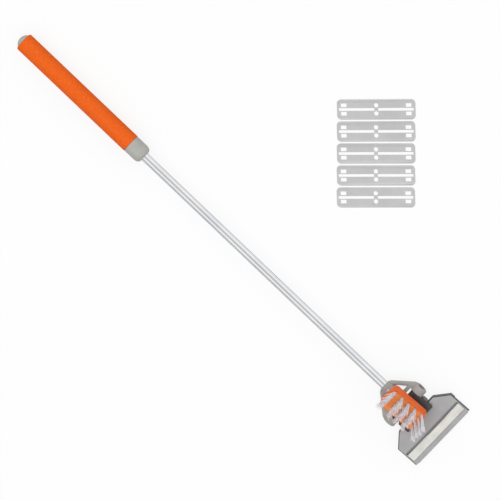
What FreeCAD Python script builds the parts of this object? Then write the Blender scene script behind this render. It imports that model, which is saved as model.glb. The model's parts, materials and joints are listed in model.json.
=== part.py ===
import FreeCAD, Part
import Sketcher
import math
import os
import re

# A long-handled scraper with a pivoting head: a foam grip on an aluminium tube, a forked
# yoke, and a head that carries a clamped blade in front and a stiff brush on its back.
# Five spare blades lie beside it.
#
# Row frame: origin on the tube's axis at the middle of the grip, +X along the tube towards
# the head, +Y along the pivot, +Z up. The tool lies on its grip and on the blade's edge.
# Head pieces are drawn about the pivot axis with the blade level, then tipped as one.

doc = FreeCAD.newDocument("brush_scraper")

driving_sizes = [
    # grip and tube
    ("grip_length", 188, "foam sleeve, end to end"),
    ("grip_radius", 12.5, "outside of the foam sleeve"),
    ("foam_wall", 3.5, "thickness of the foam sleeve"),
    ("foam_round", 2.5, "rounded ends of the foam sleeve"),
    ("fit_gap", 0.05, "clearance of pieces that are pushed or glued together"),
    ("tube_radius", 5.55, "outside of the handle tube, 7/16 inch"),
    ("tube_wall", 1.2, "wall of the handle tube"),
    ("bare_tube", 418, "tube in view between the collar and the yoke"),
    ("collar_length", 24, "collar in front of the foam"),
    ("collar_radius", 12.2, "outside of the collar"),
    ("collar_round", 6, "rounded nose of the collar"),
    ("collar_socket", 8, "depth of the collar over the grip core"),
    ("cap_radius", 9.9, "end cap's button"),
    ("cap_height", 5.6, "how far the end cap stands out"),
    ("cap_spigot", 14, "plug of the end cap inside the core"),
    ("cross_pin_radius", 1.5, "pin through core and tube"),
    ("cross_pin_place", 56, "from mid-grip to the pin"),
    ("pin_inset", 0.2, "pin's ends below the core's surface"),
    # yoke
    ("yoke_reach", 35.5, "pivot axis to the rear end of the yoke"),
    ("socket_radius", 8.75, "outside of the yoke's socket"),
    ("socket_bevel", 1.5, "bevelled rear end of the socket"),
    ("socket_depth", 20, "tube inside the yoke"),
    ("arm_thickness", 9, "yoke arms, top to bottom"),
    ("arm_root", 9.4, "half width where the arms leave the socket"),
    ("arm_width", 5.6, "width of one arm"),
    ("arm_round", 1.6, "rounded edges of the arms"),
    ("boss_bevel", 1, "bevelled ends of the bosses"),
    ("bar_rear", 14, "pivot axis to the cross bar's rear edge"),
    ("bar_front", 9, "pivot axis to the cross bar's front edge"),
    ("boss_radius", 8.9, "pivot bosses"),
    ("boss_length", 9.6, "each pivot boss, along the pivot"),
    ("rivet_radius", 1.6, "rivet through yoke and tube"),
    ("rivet_place", 26, "pivot axis to the rivet"),
    ("rivet_head", 2.9, "radius of the rivet's heads"),
    ("rivet_head_height", 1, "rivet's heads"),
    # pivot
    ("bolt_radius", 2.5, "M5 pivot bolt"),
    ("running_gap", 0.05, "radial clearance of the bolt in its bush"),
    ("bolt_head_radius", 4.25, "cap head"),
    ("bolt_head_height", 3, "cap head"),
    ("counterbore_radius", 4.7, "recess for the cap head"),
    ("counterbore_depth", 5, "recess for the cap head"),
    ("bolt_key", 4, "hexagon key, across flats"),
    ("bolt_key_depth", 1.8, "hexagon socket"),
    ("nut_flats", 8, "M5 nut, across flats"),
    ("nut_height", 4, "M5 nut"),
    ("nut_pocket", 4.4, "depth of the nut's pocket"),
    ("washer_radius", 7.6, "friction washers"),
    ("washer_thickness", 1, "friction washers"),
    ("washer_gap", 0.1, "running clearance beside the hub"),
    ("bush_wall", 0.95, "pivot bush"),
    # hub
    ("hub_half", 20.8, "half width of the hub's barrel"),
    ("hub_radius", 6.35, "barrel and neck, half thickness"),
    ("foot_half", 23.4, "half width of the hub's foot"),
    ("foot_rear", 10.2, "pivot axis to the foot"),
    ("foot_front", 27, "pivot axis to the foot's front edge"),
    ("foot_round", 1.5, "rounded corners of the foot"),
    # blade holder
    ("holder_rear", 18.5, "pivot axis to the holder's rear edge"),
    ("holder_top", 2.2, "holder's upper face above the pivot axis"),
    ("holder_under", 4.5, "holder's rear underside below the pivot axis"),
    ("holder_cover", 0.2, "holder beyond each end of the blade"),
    ("corner_cut", 18.2, "sideways reach of the corner cuts"),
    ("holder_shoulder", 33.4, "pivot axis to the end of the corner cuts"),
    ("holder_front", 64.6, "pivot axis to the holder's lip"),
    ("holder_wall", 2.2, "walls and roof of the hollow underside"),
    ("holder_round", 3.5, "rounded rear corners"),
    ("lip_chamfer", 1, "eased front edge of the lip"),
    ("groove_rear", 44.7, "relief groove, rear edge"),
    ("groove_width", 2.5, "relief groove"),
    ("groove_depth", 2.2, "relief groove"),
    ("bar_place", 47.9, "rear edge of the clamp bar"),
    ("bar_depth", 10.8, "clamp bar, front to back"),
    ("bar_end", 2.6, "holder's side to the end of the clamp bar"),
    ("bar_corner", 1, "rounded corners of the clamp bar"),
    ("bar_thickness", 2.2, "clamp bar"),
    ("bar_chamfer", 0.5, "eased upper edges of the clamp bar"),
    ("bar_recess", 1.3, "how deep the clamp bar sits"),
    ("seat_gap", 0.2, "side clearance of the clamp bar in its channel"),
    ("blade_drop", 1, "blade's upper face below the pivot axis"),
    # blades
    ("blade_length", 100, "blade, end to end"),
    ("blade_depth", 26, "blade, edge to edge"),
    ("blade_thickness", 1, "blade"),
    ("blade_bevel", 1.6, "width of the ground edges"),
    ("blade_land", 0.15, "thickness left at the ground edges"),
    ("blade_corner", 5.4, "rounded corners"),
    ("blade_overhang", 1.4, "edge in front of the holder's lip"),
    ("slot_end", 2.2, "blade end to a long slot"),
    ("slot_width", 3.5, "long slots"),
    ("slot_web", 4.6, "web between the two long slots"),
    ("window_length", 7.4, "windows near the ends"),
    ("window_width", 4.8, "windows near the ends"),
    ("window_inset", 8.6, "blade end to a window's centre"),
    ("window_offset", 5.3, "centre line to a window's centre"),
    ("hole_radius", 2.8, "round holes at mid-length"),
    ("hole_offset", 5.2, "centre line to a round hole"),
    ("lug_play", 0.4, "clearance of the holder's lugs in the windows"),
    ("lug_height", 0.8, "holder's lugs"),
    # keeper under the blade
    ("keeper_depth", 9.5, "keeper plate, front to back"),
    ("keeper_end", 4.2, "holder's side to the end of the keeper plate"),
    ("keeper_thickness", 1, "keeper plate"),
    ("keeper_corner", 2, "rounded corners of the keeper plate"),
    ("keeper_screw_radius", 1.5, "M3 screws"),
    ("keeper_head_radius", 2.4, "countersunk heads"),
    ("keeper_screw_inner", 14, "mid-line to the inner keeper screws"),
    ("keeper_screw_end", 12, "blade end to the outer keeper screws"),
    ("keeper_screw_stop", 0.8, "metal left above the keeper screws"),
    # hub screws
    ("hub_screw_radius", 2, "M4 screws"),
    ("hub_screw_head", 3.2, "pan heads"),
    ("hub_screw_head_height", 2, "pan heads"),
    ("hub_screw_place", 24, "pivot axis to the hub screws"),
    ("hub_screw_side", 13, "mid-line to the hub screws"),
    ("hub_screw_pad", 5.2, "radius of the pads under the heads"),
    ("hub_screw_bite", 3.6, "screw inside the hub's foot"),
    ("screw_tip_gap", 0.2, "room past a screw's tip"),
    # brush
    ("block_length", 54.4, "brush block along the tool"),
    ("block_width", 31.5, "brush block across"),
    ("block_thickness", 12.5, "brush block"),
    ("block_corner", 5, "rounded upright corners"),
    ("block_round", 1.8, "rounded upper edge"),
    ("block_place", -1.5, "pivot axis to the block's middle"),
    ("block_side", 1.5, "mid-line to the block's middle"),
    ("seat_height", 10.8, "middle of the block's seat above the pivot axis"),
    ("seat_cant", 14, "sideways cant of the seat, degrees"),
    ("seat_half", 13.4, "half width of the seat"),
    ("tuft_pitch", 10.7, "tuft columns along the block"),
    ("tuft_row_pitch", 6.6, "tuft rows across the block"),
    ("tuft_row_shift", 3.6, "block's mid-line to the middle of the tuft rows"),
    ("tuft_bore", 6, "depth of the tuft holes"),
    ("tuft_root", 1.2, "tuft radius at the bottom of its hole"),
    ("tuft_flare", 3.1, "tuft radius at its tip"),
    ("tuft_length", 25.5, "tuft above the block"),
    ("brush_screw_radius", 2, "M4 screws"),
    ("brush_screw_place", 13.2, "pivot axis to the brush screws"),
    ("brush_screw_side", 9, "block's mid-line to a brush screw"),
    ("brush_screw_head", 3.6, "cheese heads"),
    ("brush_screw_head_height", 2.4, "cheese heads"),
    ("head_gap", 0.3, "room around a recessed screw head"),
    ("brush_screw_recess", 3, "recess in the hub's underside"),
    ("brush_screw_bite", 5.5, "screw inside the block"),
    # spare blades beside the tool
    ("spare_place", 327.7, "mid-grip to the middle of the set, along the tool"),
    ("spare_side", 207.7, "tool axis to the middle of the set"),
    ("spare_turn", 44.5, "turn of the spare blades from the tool, degrees"),
    ("spare_gap", 2, "space between spare blades"),
    ("spare_slide", 1.05, "each spare blade lies this much further along than the next"),
    # reach of a cut that goes right through
    ("cut_through", 150, "depth of through cuts, more than any piece is thick"),
]
# lean of each tuft column from the block's normal, in degrees, rear to front
tuft_leans = [-17, 2, 2, 6, 33]
# sideways lean of the same columns
tuft_side_leans = [0, 0, 0, 2, 14]
tuft_rows = 4
spare_blades = 5

sizes = doc.addObject("Spreadsheet::Sheet", "sizes")
for row, (name, value, note) in enumerate(driving_sizes, start=1):
    sizes.set(f"A{row}", name)
    sizes.set(f"B{row}", str(value))
    sizes.setAlias(f"B{row}", name)
    sizes.set(f"C{row}", note)
doc.recompute()
aliases = {name for name, value, note in driving_sizes}
sub_parts = []

# places that several pieces share, as formulas of the sheet
pivot_x = "(grip_length / 2 + collar_length + bare_tube + yoke_reach)"
tube_end = f"({pivot_x} - yoke_reach + socket_depth)"
tube_start = "(cap_spigot + 2 - grip_length / 2)"
core_radius = "(grip_radius - foam_wall - fit_gap)"
core_end = "(grip_length / 2 + collar_socket)"
boss_inner = "(hub_half + washer_gap + washer_thickness)"
boss_outer = f"({boss_inner} + boss_length)"
blade_edge = "(holder_front + blade_overhang)"
blade_middle = f"({blade_edge} - blade_depth / 2)"
blade_top = "(-blade_drop)"
blade_under = f"({blade_top} - blade_thickness)"
holder_half = "(blade_length / 2 + holder_cover)"
bar_half = f"({holder_half} - bar_end)"
keeper_half = f"({holder_half} - keeper_end)"
keeper_outer = "(blade_length / 2 - keeper_screw_end)"
slot_length = "(blade_length / 2 - slot_end - slot_web / 2)"
bar_seat = "(holder_top - bar_recess)"
# the head is tipped until the blade's edge is level with the underside of the grip
edge_reach = f"sqrt({blade_edge} * {blade_edge} + {blade_under} * {blade_under})"
head_pitch = f"(asin(grip_radius / {edge_reach}) + atan({blade_under} / {blade_edge}))"

keeper_screw_places = [keeper_outer, "keeper_screw_inner", "-keeper_screw_inner", f"-{keeper_outer}"]


def formula(text):
    """Name the sheet in front of each of its aliases."""
    return re.sub(r"[a-z][a-z_]+", lambda word: prefixed(word.group()), str(text))


def prefixed(word):
    return "sizes." + word if word in aliases else word


def bind(thing, prop, text):
    thing.setExpression(prop, formula(text))


def size(name):
    return float(sizes.get(name))


def placement(x=0, y=0, z=0, axis=(0, 0, 1), angle=0):
    turn = f"create(<<rotation>>; create(<<vector>>; {axis[0]}; {axis[1]}; {axis[2]}); {angle})"
    return f"create(<<placement>>; create(<<vector>>; {x}; {y}; {z}); {turn})"


yoke_place = placement(x=pivot_x)
head_place = placement(x=pivot_x, axis=(0, 1, 0), angle=head_pitch)
block_place = head_place + " * " + placement("block_place", "block_side", "seat_height",
                                             axis=(1, 0, 0), angle="seat_cant")


def finish(thing, label, place=None):
    """Name a sub-part, put it in its place and list it for export."""
    thing.Label = label
    if place:
        bind(thing, "Placement", place)
    sub_parts.append(thing)
    return thing


def new_body(name):
    return doc.addObject("PartDesign::Body", name)


def sketch_on(body, plane_name, height="0"):
    """A sketch on one of the body's own planes, shifted along the plane's normal."""
    sketch = body.newObject("Sketcher::SketchObject", "sketch")
    plane = next(item for item in body.Origin.OriginFeatures if item.Role == plane_name)
    sketch.AttachmentSupport = [(plane, "")]
    sketch.MapMode = "FlatFace"
    bind(sketch, "AttachmentOffset.Base.z", height)
    return sketch


def pin_point(sketch, curve, point, x, y):
    """Hold one point of a curve at x, y from the sketch's origin."""
    for kind, text in (("DistanceX", x), ("DistanceY", y)):
        index = sketch.addConstraint(Sketcher.Constraint(kind, -1, 1, curve, point, 1.0))
        bind(sketch, f"Constraints[{index}]", text)


def polygon(sketch, corners):
    """A closed outline through the corners, each held by its own two distances."""
    first = sketch.GeometryCount
    count = len(corners)
    start = [FreeCAD.Vector(index, index * index, 0) for index in range(count)]
    for index in range(count):
        sketch.addGeometry(Part.LineSegment(start[index], start[(index + 1) % count]), False)
    for index, (x, y) in enumerate(corners):
        after = first + (index + 1) % count
        sketch.addConstraint(Sketcher.Constraint("Coincident", first + index, 2, after, 1))
        pin_point(sketch, first + index, 1, x, y)


def path(sketch, corners):
    """Straight lines from corner to corner, open at the end."""
    start = [FreeCAD.Vector(index, index * index, 0) for index in range(len(corners))]
    for index in range(len(corners) - 1):
        sketch.addGeometry(Part.LineSegment(start[index], start[index + 1]), False)
        if index:
            sketch.addConstraint(Sketcher.Constraint("Coincident", index - 1, 2, index, 1))
        pin_point(sketch, index, 1, *corners[index])
    pin_point(sketch, len(corners) - 2, 2, *corners[-1])


def rectangle(sketch, x_low, y_low, x_high, y_high):
    polygon(sketch, [(x_low, y_low), (x_high, y_low), (x_high, y_high), (x_low, y_high)])


def circle(sketch, x, y, radius):
    centre = FreeCAD.Vector(0, 0, 0)
    curve = sketch.addGeometry(Part.Circle(centre, FreeCAD.Vector(0, 0, 1), 1.0), False)
    pin_point(sketch, curve, 3, x, y)
    index = sketch.addConstraint(Sketcher.Constraint("Radius", curve, 1.0))
    bind(sketch, f"Constraints[{index}]", radius)


def hexagon(sketch, flats):
    corner = f"{flats} / sqrt(3)"
    polygon(sketch, [(f"{corner} * cos({60 * index})", f"{corner} * sin({60 * index})")
                     for index in range(6)])


def pad(body, sketch, length, symmetric=False, reverse=False):
    feature = body.newObject("PartDesign::Pad", "pad")
    feature.Profile = sketch
    feature.SideType = "Symmetric" if symmetric else "One side"
    feature.Reversed = reverse
    bind(feature, "Length", length)
    doc.recompute()
    return feature


def pocket(body, sketch, depth, symmetric=False, reverse=False):
    before = body.Shape.Volume
    feature = body.newObject("PartDesign::Pocket", "pocket")
    feature.Profile = sketch
    feature.SideType = "Symmetric" if symmetric else "One side"
    feature.Reversed = reverse
    bind(feature, "Length", depth)
    doc.recompute()
    if body.Shape.Volume > before - 1e-6:
        raise RuntimeError(f"{body.Name}: a pocket removes nothing")
    return feature


def revolve(body, sketch, axis="H_Axis"):
    feature = body.newObject("PartDesign::Revolution", "revolution")
    feature.Profile = sketch
    feature.ReferenceAxis = (sketch, [axis])
    feature.Angle = 360
    doc.recompute()
    return feature


def dress(body, kind, amount, wanted):
    """Fillet or chamfer the edges of the body that the test wants."""
    tip = body.Tip
    names = [f"Edge{index}" for index, edge in enumerate(tip.Shape.Edges, start=1) if wanted(edge)]
    if not names:
        raise RuntimeError(f"{body.Name}: no edge to dress")
    feature = body.newObject(f"PartDesign::{kind}", kind.lower())
    feature.Base = (tip, names)
    bind(feature, "Radius" if kind == "Fillet" else "Size", amount)
    doc.recompute()
    return feature


def along(edge, axis):
    """True for a straight edge that runs along the axis."""
    if not isinstance(edge.Curve, Part.Line):
        return False
    direction = edge.tangentAt(edge.FirstParameter)
    return abs(getattr(direction, axis)) > 0.999


def all_at(edge, axis, value):
    """True when the whole edge lies at one value of the axis."""
    box = edge.BoundBox
    low = getattr(box, axis.upper() + "Min")
    high = getattr(box, axis.upper() + "Max")
    return abs(low - value) < 1e-4 and abs(high - value) < 1e-4


def primitive(kind, name, place, **measures):
    """A Part primitive with each measure and its place bound to the sheet."""
    thing = doc.addObject(f"Part::{kind}", name)
    for prop, text in measures.items():
        bind(thing, prop, text)
    bind(thing, "Placement", place)
    return thing


def join(kind, name, things):
    thing = doc.addObject(f"Part::{kind}", name)
    if kind == "Compound":
        thing.Links = things
    elif kind == "Cut":
        thing.Base, thing.Tool = things
    else:
        thing.Shapes = things
    doc.recompute()
    return thing


# ---- grip and tube -------------------------------------------------------------------

def make_handle_tube():
    body = new_body("handle_tube")
    ring = sketch_on(body, "YZ_Plane", tube_start)
    circle(ring, "0", "0", "tube_radius")
    circle(ring, "0", "0", "tube_radius - tube_wall")
    pad(body, ring, f"{tube_end} - {tube_start}")
    across = sketch_on(body, "XZ_Plane")
    circle(across, "cross_pin_place", "0", "cross_pin_radius + fit_gap")
    pocket(body, across, "cut_through", symmetric=True)
    upright = sketch_on(body, "XY_Plane")
    circle(upright, f"{pivot_x} - rivet_place", "0", "rivet_radius + fit_gap")
    pocket(body, upright, "cut_through", symmetric=True)
    finish(body, "handle_tube")


def make_grip_sleeve():
    body = new_body("grip_sleeve")
    ring = sketch_on(body, "YZ_Plane", "-grip_length / 2")
    circle(ring, "0", "0", "grip_radius")
    circle(ring, "0", "0", "grip_radius - foam_wall")
    pad(body, ring, "grip_length")
    dress(body, "Fillet", "foam_round",
          lambda edge: edge.BoundBox.YLength > 2 * size("grip_radius") - 0.01 and not along(edge, "x"))
    finish(body, "grip_sleeve")


def make_grip_core():
    body = new_body("grip_core")
    ring = sketch_on(body, "YZ_Plane", "-grip_length / 2")
    circle(ring, "0", "0", core_radius)
    circle(ring, "0", "0", "tube_radius + fit_gap")
    pad(body, ring, f"{core_end} + grip_length / 2")
    across = sketch_on(body, "XZ_Plane")
    circle(across, "cross_pin_place", "0", "cross_pin_radius + fit_gap")
    pocket(body, across, "cut_through", symmetric=True)
    finish(body, "grip_core")


def make_grip_pin():
    pin = primitive("Cylinder", "grip_pin_rod",
                    placement("cross_pin_place", f"{core_radius} - pin_inset", "0", (1, 0, 0), 90),
                    Radius="cross_pin_radius", Height=f"2 * {core_radius} - 2 * pin_inset")
    doc.recompute()
    finish(pin, "grip_pin")


def make_grip_collar():
    body = new_body("grip_collar")
    outline = sketch_on(body, "XZ_Plane")
    rear = "grip_length / 2"
    front = "grip_length / 2 + collar_length"
    polygon(outline, [(rear, f"{core_radius} + fit_gap"), (rear, "collar_radius"),
                      (front, "collar_radius"), (front, "tube_radius + fit_gap"),
                      (core_end, "tube_radius + fit_gap"), (core_end, f"{core_radius} + fit_gap")])
    revolve(body, outline)
    nose = size("grip_length") / 2 + size("collar_length")
    dress(body, "Fillet", "collar_round",
          lambda edge: all_at(edge, "x", nose) and edge.BoundBox.YLength > 2 * size("collar_radius") - 1)
    finish(body, "grip_collar")


def make_grip_end_cap():
    body = new_body("grip_end_cap")
    outline = sketch_on(body, "XZ_Plane")
    seat = "-grip_length / 2"
    corners = [(seat, "cap_radius"), (seat, "tube_radius"),
               (f"{seat} + cap_spigot", "tube_radius"), (f"{seat} + cap_spigot", "0"),
               (f"{seat} - cap_height", "0")]
    path(outline, corners)
    doc.recompute()
    # the dome is an arc centred on the tube's axis
    tall = size("cap_height")
    wide = size("cap_radius")
    radius = (wide * wide + tall * tall) / (2 * tall)
    middle = FreeCAD.Vector(-size("grip_length") / 2 - tall + radius, 0, 0)
    round_part = Part.Circle(middle, FreeCAD.Vector(0, 0, 1), radius)
    start = math.pi - math.asin(wide / radius)
    dome = outline.addGeometry(Part.ArcOfCircle(round_part, start, math.pi), False)
    outline.addConstraint(Sketcher.Constraint("Coincident", dome, 1, 0, 1))
    outline.addConstraint(Sketcher.Constraint("Coincident", dome, 2, len(corners) - 2, 2))
    outline.addConstraint(Sketcher.Constraint("PointOnObject", dome, 3, -1))
    revolve(body, outline)
    finish(body, "grip_end_cap")


# ---- yoke and pivot ------------------------------------------------------------------

def make_yoke():
    body = new_body("yoke")
    plate = sketch_on(body, "XY_Plane")
    rear = "-yoke_reach"
    shoulder = f"({boss_outer} - boss_bevel)"
    upper = [(f"{rear} + socket_bevel", "arm_root"), ("-bar_front - 1", shoulder), ("0", shoulder),
             ("0", boss_inner), ("-bar_front", boss_inner)]
    lower = [(x, f"-({y})") for x, y in reversed(upper)]
    polygon(plate, upper + lower)
    for side in ("1", "-1"):
        polygon(plate, [("-yoke_reach + arm_width * sqrt(2)", f"{side} * arm_root"),
                        ("-bar_rear", f"{side} * arm_root"),
                        ("-bar_rear", f"{side} * ({boss_outer} - 2 * arm_width)")])
    pad(body, plate, "arm_thickness", symmetric=True)
    dress(body, "Fillet", "arm_round", lambda edge: edge.BoundBox.ZLength < 1e-4
          and not all_at(edge, "x", 0) and edge.BoundBox.YMax * edge.BoundBox.YMin > 0
          and not along(edge, "x"))
    socket = sketch_on(body, "XZ_Plane")
    polygon(socket, [(rear, "0"), (rear, "socket_radius - socket_bevel"),
                     (f"{rear} + socket_bevel", "socket_radius"),
                     ("-(bar_rear + bar_front) / 2", "socket_radius"),
                     ("-(bar_rear + bar_front) / 2", "0")])
    revolve(body, socket)
    for side in ("1", "-1"):
        boss = sketch_on(body, "XY_Plane")
        polygon(boss, [("0", f"{side} * {boss_inner}"), ("boss_radius", f"{side} * {boss_inner}"),
                       ("boss_radius", f"{side} * ({boss_outer} - boss_bevel)"),
                       ("boss_radius - boss_bevel", f"{side} * {boss_outer}"),
                       ("0", f"{side} * {boss_outer}")])
        revolve(body, boss, "V_Axis")
    bore = sketch_on(body, "YZ_Plane", rear)
    circle(bore, "0", "0", "tube_radius + fit_gap")
    pocket(body, bore, "socket_depth", reverse=True)
    pivot = sketch_on(body, "XZ_Plane")
    circle(pivot, "0", "0", "bolt_radius + fit_gap")
    pocket(body, pivot, "cut_through", symmetric=True)
    counterbore = sketch_on(body, "XZ_Plane", f"-1 * {boss_outer}")
    circle(counterbore, "0", "0", "counterbore_radius")
    pocket(body, counterbore, "counterbore_depth", reverse=True)
    nut_pocket = sketch_on(body, "XZ_Plane", boss_outer)
    hexagon(nut_pocket, "(nut_flats + 2 * fit_gap)")
    pocket(body, nut_pocket, "nut_pocket")
    rivet = sketch_on(body, "XY_Plane")
    circle(rivet, "-rivet_place", "0", "rivet_radius + fit_gap")
    pocket(body, rivet, "cut_through", symmetric=True)
    finish(body, "yoke", yoke_place)


def make_yoke_rivet():
    rod = primitive("Cylinder", "rivet_rod", placement("-rivet_place", "0", "-socket_radius"),
                    Radius="rivet_radius", Height="2 * socket_radius")
    heads = []
    for label, side, angle in (("rivet_top", "1", 0), ("rivet_bottom", "-1", 180)):
        head = primitive("Cone", label,
                         placement("-rivet_place", "0", f"{side} * socket_radius", (1, 0, 0), angle),
                         Radius1="rivet_head", Radius2="rivet_radius", Height="rivet_head_height")
        heads.append(head)
    finish(join("MultiFuse", "yoke_rivet", [rod] + heads), "yoke_rivet", yoke_place)


def make_pivot_bolt():
    body = new_body("pivot_bolt")
    seat = f"({boss_outer} - counterbore_depth)"
    head = sketch_on(body, "XZ_Plane", f"-1 * {seat}")
    circle(head, "0", "0", "bolt_head_radius")
    pad(body, head, "bolt_head_height", reverse=True)
    shank = sketch_on(body, "XZ_Plane", f"-1 * {seat}")
    circle(shank, "0", "0", "bolt_radius")
    pad(body, shank, f"{seat} + {boss_outer} - nut_pocket + nut_height")
    key = sketch_on(body, "XZ_Plane", f"-1 * ({seat} + bolt_head_height)")
    hexagon(key, "bolt_key")
    pocket(body, key, "bolt_key_depth", reverse=True)
    finish(body, "pivot_bolt", yoke_place)


def make_pivot_nut():
    body = new_body("pivot_nut")
    face = sketch_on(body, "XZ_Plane", f"{boss_outer} - nut_pocket")
    hexagon(face, "nut_flats")
    circle(face, "0", "0", "bolt_radius + fit_gap")
    pad(body, face, "nut_height")
    finish(body, "pivot_nut", yoke_place)


def make_friction_washer(label, side):
    body = new_body(label)
    face = sketch_on(body, "XZ_Plane", f"{side} * (hub_half + washer_gap)")
    circle(face, "0", "0", "washer_radius")
    circle(face, "0", "0", "bolt_radius + fit_gap")
    pad(body, face, "washer_thickness", reverse=side < 0)
    finish(body, label, yoke_place)


# ---- head ----------------------------------------------------------------------------

def make_pivot_bush():
    body = new_body("pivot_bush")
    ring = sketch_on(body, "XZ_Plane")
    circle(ring, "0", "0", "bolt_radius + running_gap + bush_wall")
    circle(ring, "0", "0", "bolt_radius + running_gap")
    pad(body, ring, "2 * hub_half", symmetric=True)
    finish(body, "pivot_bush", head_place)


def seat_level(side):
    """Height of the canted brush seat at a distance across the head."""
    return f"(seat_height + ({side} - block_side) * tan(seat_cant))"


def make_hub():
    body = new_body("hub")
    barrel = sketch_on(body, "XZ_Plane")
    circle(barrel, "0", "0", "hub_radius")
    pad(body, barrel, "2 * hub_half", symmetric=True)
    neck = sketch_on(body, "XZ_Plane")
    rectangle(neck, "0", "-hub_radius", "foot_rear + 1", "hub_radius")
    pad(body, neck, "2 * hub_half", symmetric=True)
    foot = sketch_on(body, "XZ_Plane")
    polygon(foot, [("foot_rear", "-hub_radius"), ("holder_rear", "-hub_radius"),
                   ("holder_rear", "holder_top"), ("foot_front", "holder_top"),
                   ("foot_front", "hub_radius"), ("foot_rear", "hub_radius")])
    pad(body, foot, "2 * foot_half", symmetric=True)
    dress(body, "Fillet", "foot_round", lambda edge: along(edge, "z")
          and abs(abs(edge.BoundBox.YMin) - size("foot_half")) < 1e-4)
    wedge = sketch_on(body, "YZ_Plane", "-hub_radius + foot_round")
    low = "(block_side - seat_half)"
    high = "(block_side + seat_half)"
    polygon(wedge, [(low, "holder_top"), (high, "holder_top"),
                    (high, seat_level(high)), (low, seat_level(low))])
    pad(body, wedge, "foot_front + hub_radius - 2 * foot_round")
    bore = sketch_on(body, "XZ_Plane")
    circle(bore, "0", "0", "bolt_radius + running_gap + bush_wall + fit_gap")
    pocket(body, bore, "cut_through", symmetric=True)
    for side in ("1", "-1"):
        screw = sketch_on(body, "XY_Plane", "holder_top")
        circle(screw, "hub_screw_place", f"{side} * hub_screw_side", "hub_screw_radius + fit_gap")
        pocket(body, screw, "hub_screw_bite + screw_tip_gap", reverse=True)
        through = sketch_on(body, "XY_Plane")
        circle(through, "brush_screw_place", f"block_side + {side} * brush_screw_side",
               "brush_screw_radius + fit_gap")
        pocket(body, through, "cut_through", symmetric=True)
        recess = sketch_on(body, "XY_Plane", "-hub_radius")
        circle(recess, "brush_screw_place", f"block_side + {side} * brush_screw_side",
               "brush_screw_head + head_gap")
        pocket(body, recess, "brush_screw_recess", reverse=True)
    finish(body, "hub", head_place)


def make_holder_body():
    body = new_body("holder_body")
    plan = sketch_on(body, "XY_Plane", "-holder_under")
    half = [("holder_rear", f"({holder_half} - corner_cut)"), ("holder_shoulder", holder_half),
            ("holder_front", holder_half)]
    polygon(plan, half + [(x, f"-{y}") for x, y in reversed(half)])
    pad(body, plan, "holder_under + holder_top")
    dress(body, "Fillet", "holder_round", lambda edge: along(edge, "z")
          and edge.BoundBox.XMax < size("holder_rear") + 0.01)
    step = sketch_on(body, "XY_Plane", "-holder_under")
    rectangle(step, f"{blade_edge} - blade_depth", f"-{holder_half} - 1",
              "holder_front + 1", f"{holder_half} + 1")
    pocket(body, step, f"holder_under + {blade_top}", reverse=True)
    # hollow underside behind the blade, with a rib each side of the hub's screws
    hollow_front = f"({blade_edge} - blade_depth - holder_wall)"
    middle = sketch_on(body, "XY_Plane", "-holder_under")
    rectangle(middle, "holder_rear + holder_wall", "-hub_screw_side - hub_screw_pad",
              hollow_front, "hub_screw_side + hub_screw_pad")
    pocket(body, middle, "holder_under", reverse=True)
    for side in ("1", "-1"):
        inner = f"{side} * (hub_screw_side + hub_screw_pad + holder_wall)"
        cell = sketch_on(body, "XY_Plane", "-holder_under")
        polygon(cell, [("holder_rear + holder_wall", inner),
                       (hollow_front, inner),
                       (hollow_front, f"{side} * ({holder_half} - holder_wall)"),
                       ("holder_shoulder + holder_wall / 2", f"{side} * ({holder_half} - holder_wall)"),
                       ("holder_rear + holder_wall",
                        f"{side} * ({holder_half} - corner_cut - holder_wall / 2)")])
        pocket(body, cell, "holder_under", reverse=True)
        screw_pad = sketch_on(body, "XY_Plane", "-holder_under + hub_screw_head_height")
        circle(screw_pad, "hub_screw_place", f"{side} * hub_screw_side", "hub_screw_pad - 1")
        pad(body, screw_pad, "holder_under - hub_screw_head_height + holder_top / 2")
        screw = sketch_on(body, "XY_Plane")
        circle(screw, "hub_screw_place", f"{side} * hub_screw_side", "hub_screw_radius + fit_gap")
        pocket(body, screw, "cut_through", symmetric=True)
    # relief groove, channel of the clamp bar and the lip's eased front edge
    groove = sketch_on(body, "XY_Plane", "holder_top")
    rectangle(groove, "groove_rear", f"-{bar_half} - seat_gap",
              "groove_rear + groove_width", f"{bar_half} + seat_gap")
    pocket(body, groove, "groove_depth")
    channel = sketch_on(body, "XY_Plane", "holder_top")
    rectangle(channel, "bar_place - seat_gap", f"-{bar_half} - seat_gap",
              "bar_place + bar_depth + seat_gap", f"{bar_half} + seat_gap")
    pocket(body, channel, "bar_recess")
    front = size("holder_front")
    top = size("holder_top")
    dress(body, "Chamfer", "lip_chamfer", lambda edge: all_at(edge, "x", front) and all_at(edge, "z", top))
    # lugs that locate the blade by its windows
    for row in ("1", "-1"):
        for side in ("1", "-1"):
            lug = sketch_on(body, "XY_Plane", blade_top)
            x = f"({blade_middle} + {row} * window_offset)"
            y = f"({side} * (blade_length / 2 - window_inset))"
            rectangle(lug, f"{x} - window_width / 2 + lug_play", f"{y} - window_length / 2 + lug_play",
                      f"{x} + window_width / 2 - lug_play", f"{y} + window_length / 2 - lug_play")
            pad(body, lug, "lug_height", reverse=True)
    for place in keeper_screw_places:
        screw = sketch_on(body, "XY_Plane")
        circle(screw, blade_middle, place, "keeper_screw_radius + fit_gap")
        pocket(body, screw, "cut_through", symmetric=True)
    finish(body, "holder_body", head_place)


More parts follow.
